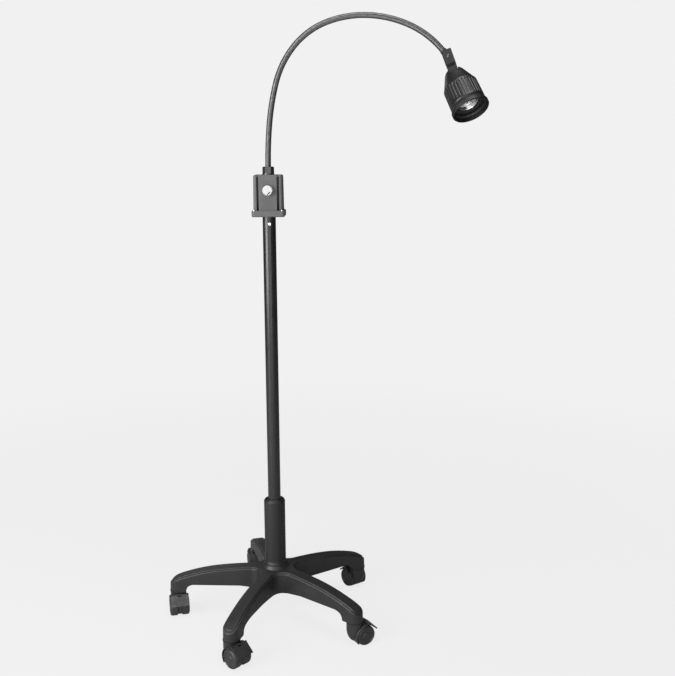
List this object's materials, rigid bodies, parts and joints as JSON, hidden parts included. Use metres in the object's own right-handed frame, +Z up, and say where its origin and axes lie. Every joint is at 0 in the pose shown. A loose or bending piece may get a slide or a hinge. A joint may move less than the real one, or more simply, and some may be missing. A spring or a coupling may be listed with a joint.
{
  "type": "examination lamp",
  "caption": "Mobile examination lamp: gooseneck with a tilting ribbed head on a pole, dimmer box and braked star base.",
  "frame": {"origin": "on the floor under the pole's axis", "axes": "+Z up along the pole, +X the way the gooseneck reaches, +Y away from the dimmer knob"},
  "size_m": [0.8011, 0.6019, 1.5074],
  "materials": {
    "base_polymer": "semi-matte glass-filled polymer with a fine grain",
    "black_plastic": "matte black",
    "bright_steel": "turned steel",
    "sleeve_plastic": "smooth semi-matte dark grey",
    "pole_paint": "satin charcoal paint on steel tube",
    "chrome_screw": "bright plated",
    "box_plastic": "fine-textured mid grey",
    "core_iron": "varnished laminations",
    "board_green": "solder-masked board",
    "nut_black": "glossy black",
    "knob_white": "white with a dark pointer line",
    "neck_steel": "dark spiral-wound steel",
    "head_paint": "dark grey satin coating",
    "head_plastic": "black heat-resistant polymer",
    "reflector_glass": "faceted reflecting coat on glass",
    "capsule_glass": "clear quartz",
    "holder_ceramic": "unglazed ceramic",
    "caster_plastic": "dark grey moulded polymer",
    "wheel_plastic": "grey hub with a harder tread"
  },
  "bodies": {
    "stand": {"star_base": "base_polymer", "caster_sockets": "black_plastic", "caster_stems": "bright_steel", "pole_bolt": "bright_steel", "column_sleeve": "sleeve_plastic", "sleeve_collar": "sleeve_plastic", "pole": "pole_paint", "pole_screw": "chrome_screw", "box_plinth": "box_plastic", "box_casing": "box_plastic", "front_panel": "box_plastic", "rear_cover": "box_plastic", "box_screws": "chrome_screw", "transformer": "core_iron", "dimmer_board": "board_green", "cable_gland": "black_plastic", "neck_nut": "nut_black", "gooseneck_1": "neck_steel"},
    "dimmer_knob": {"knob": "knob_white"},
    "neck_link_2": {"gooseneck_2": "neck_steel"},
    "neck_link_3": {"gooseneck_3": "neck_steel"},
    "neck_link_4": {"gooseneck_4": "neck_steel"},
    "neck_link_5": {"gooseneck_5": "neck_steel"},
    "neck_link_6": {"gooseneck_6": "neck_steel", "neck_fitting": "head_paint"},
    "tilt_link": {"tilt_arm": "head_paint", "neck_pivot_screw": "chrome_screw"},
    "lamp_head": {"head_pivot_screw": "bright_steel", "head_cap": "head_paint", "head_barrel": "head_paint", "front_ring": "head_plastic", "carrier_ring": "head_plastic", "lamp_reflector": "reflector_glass", "lamp_capsule": "capsule_glass", "lamp_holder": "holder_ceramic"},
    "caster_1_fork": {"caster_1_housing": "caster_plastic", "caster_1_axle": "bright_steel"},
    "caster_1_left": {"caster_1_wheel_left": "wheel_plastic"},
    "caster_1_right": {"caster_1_wheel_right": "wheel_plastic"},
    "caster_1_pedal": {"caster_1_brake": "caster_plastic"},
    "caster_2_fork": {"caster_2_housing": "caster_plastic", "caster_2_axle": "bright_steel"},
    "caster_2_left": {"caster_2_wheel_left": "wheel_plastic"},
    "caster_2_right": {"caster_2_wheel_right": "wheel_plastic"},
    "caster_2_pedal": {"caster_2_brake": "caster_plastic"},
    "caster_3_fork": {"caster_3_housing": "caster_plastic", "caster_3_axle": "bright_steel"},
    "caster_3_left": {"caster_3_wheel_left": "wheel_plastic"},
    "caster_3_right": {"caster_3_wheel_right": "wheel_plastic"},
    "caster_3_pedal": {"caster_3_brake": "caster_plastic"},
    "caster_4_fork": {"caster_4_housing": "caster_plastic", "caster_4_axle": "bright_steel"},
    "caster_4_left": {"caster_4_wheel_left": "wheel_plastic"},
    "caster_4_right": {"caster_4_wheel_right": "wheel_plastic"},
    "caster_4_pedal": {"caster_4_brake": "caster_plastic"},
    "caster_5_fork": {"caster_5_housing": "caster_plastic", "caster_5_axle": "bright_steel"},
    "caster_5_left": {"caster_5_wheel_left": "wheel_plastic"},
    "caster_5_right": {"caster_5_wheel_right": "wheel_plastic"},
    "caster_5_pedal": {"caster_5_brake": "caster_plastic"}
  },
  "joints": [
    {"name": "knob_turn", "type": "hinge", "parent": "stand", "child": "dimmer_knob", "pos_m": [0, -0.045, 1.101], "axis": [0, 1, 0], "range_deg": [-300, 0]},
    {"name": "neck_bend_1", "type": "hinge", "parent": "stand", "child": "neck_link_2", "pos_m": [0.02119, 0, 1.3467], "axis": [0, 1, 0], "range_deg": [-20, 20]},
    {"name": "neck_bend_2", "type": "hinge", "parent": "neck_link_2", "child": "neck_link_3", "pos_m": [0.06465, 0, 1.43108], "axis": [0.766, 0, -0.6428], "range_deg": [-25, 25]},
    {"name": "neck_bend_3", "type": "hinge", "parent": "neck_link_3", "child": "neck_link_4", "pos_m": [0.14215, 0, 1.48535], "axis": [0, 1, 0], "range_deg": [-25, 25]},
    {"name": "neck_bend_4", "type": "hinge", "parent": "neck_link_4", "child": "neck_link_5", "pos_m": [0.23609, 0, 1.50023], "axis": [-0.0349, 0, -0.9994], "range_deg": [-30, 30]},
    {"name": "neck_bend_5", "type": "hinge", "parent": "neck_link_5", "child": "neck_link_6", "pos_m": [0.32922, 0, 1.48043], "axis": [0, 1, 0], "range_deg": [-25, 25]},
    {"name": "head_swing", "type": "hinge", "parent": "neck_link_6", "child": "tilt_link", "pos_m": [0.4252, 0, 1.40764], "axis": [0, 1, 0], "range_deg": [-75, 55]},
    {"name": "head_tilt", "type": "hinge", "parent": "tilt_link", "child": "lamp_head", "pos_m": [0.44206, 0, 1.36484], "axis": [0.9304, 0, 0.3665], "range_deg": [-48, 110]},
    {"name": "caster_1_swivel", "type": "hinge", "parent": "stand", "child": "caster_1_fork", "pos_m": [0.21548, 0.1437, 0.05], "axis": [0, 0, 1], "continuous": true},
    {"name": "caster_1_roll_left", "type": "hinge", "parent": "caster_1_fork", "child": "caster_1_left", "pos_m": [0.204, 0.16009, 0.025], "axis": [-0.8192, -0.5736, 0], "continuous": true},
    {"name": "caster_1_roll_right", "type": "hinge", "parent": "caster_1_fork", "child": "caster_1_right", "pos_m": [0.204, 0.16009, 0.025], "axis": [-0.8192, -0.5736, 0], "continuous": true},
    {"name": "caster_1_brake_press", "type": "hinge", "parent": "caster_1_fork", "child": "caster_1_pedal", "pos_m": [0.20028, 0.16541, 0.056], "axis": [-0.8192, -0.5736, 0], "range_deg": [0, 5]},
    {"name": "caster_2_swivel", "type": "hinge", "parent": "stand", "child": "caster_2_fork", "pos_m": [-0.07009, 0.24934, 0.05], "axis": [0, 0, 1], "continuous": true},
    {"name": "caster_2_roll_left", "type": "hinge", "parent": "caster_2_fork", "child": "caster_2_left", "pos_m": [-0.07526, 0.26866, 0.025], "axis": [-0.9659, -0.2588, 0], "continuous": true},
    {"name": "caster_2_roll_right", "type": "hinge", "parent": "caster_2_fork", "child": "caster_2_right", "pos_m": [-0.07526, 0.26866, 0.025], "axis": [-0.9659, -0.2588, 0], "continuous": true},
    {"name": "caster_2_brake_press", "type": "hinge", "parent": "caster_2_fork", "child": "caster_2_pedal", "pos_m": [-0.07694, 0.27493, 0.056], "axis": [-0.9659, -0.2588, 0], "range_deg": [0, 5]},
    {"name": "caster_3_swivel", "type": "hinge", "parent": "stand", "child": "caster_3_fork", "pos_m": [-0.25879, 0.01039, 0.05], "axis": [0, 0, 1], "continuous": true},
    {"name": "caster_3_roll_left", "type": "hinge", "parent": "caster_3_fork", "child": "caster_3_left", "pos_m": [-0.25395, -0.00901, 0.025], "axis": [0.9703, 0.2419, 0], "continuous": true},
    {"name": "caster_3_roll_right", "type": "hinge", "parent": "caster_3_fork", "child": "caster_3_right", "pos_m": [-0.25395, -0.00901, 0.025], "axis": [0.9703, 0.2419, 0], "continuous": true},
    {"name": "caster_3_brake_press", "type": "hinge", "parent": "caster_3_fork", "child": "caster_3_pedal", "pos_m": [-0.25238, -0.01532, 0.056], "axis": [0.9703, 0.2419, 0], "range_deg": [0, 5]},
    {"name": "caster_4_swivel", "type": "hinge", "parent": "stand", "child": "caster_4_fork", "pos_m": [-0.08986, -0.24291, 0.05], "axis": [0, 0, 1], "continuous": true},
    {"name": "caster_4_roll_left", "type": "hinge", "parent": "caster_4_fork", "child": "caster_4_left", "pos_m": [-0.07571, -0.25705, 0.025], "axis": [0.7071, 0.7071, 0], "continuous": true},
    {"name": "caster_4_roll_right", "type": "hinge", "parent": "caster_4_fork", "child": "caster_4_right", "pos_m": [-0.07571, -0.25705, 0.025], "axis": [0.7071, 0.7071, 0], "continuous": true},
    {"name": "caster_4_brake_press", "type": "hinge", "parent": "caster_4_fork", "child": "caster_4_pedal", "pos_m": [-0.07112, -0.26165, 0.056], "axis": [0.7071, 0.7071, 0], "range_deg": [0, 5]},
    {"name": "caster_5_swivel", "type": "hinge", "parent": "stand", "child": "caster_5_fork", "pos_m": [0.20326, -0.16052, 0.05], "axis": [0, 0, 1], "continuous": true},
    {"name": "caster_5_roll_left", "type": "hinge", "parent": "caster_5_fork", "child": "caster_5_left", "pos_m": [0.22058, -0.15052, 0.025], "axis": [-0.5, 0.866, 0], "continuous": true},
    {"name": "caster_5_roll_right", "type": "hinge", "parent": "caster_5_fork", "child": "caster_5_right", "pos_m": [0.22058, -0.15052, 0.025], "axis": [-0.5, 0.866, 0], "continuous": true},
    {"name": "caster_5_brake_press", "type": "hinge", "parent": "caster_5_fork", "child": "caster_5_pedal", "pos_m": [0.22621, -0.14727, 0.056], "axis": [-0.5, 0.866, 0], "range_deg": [0, 5]}
  ]
}
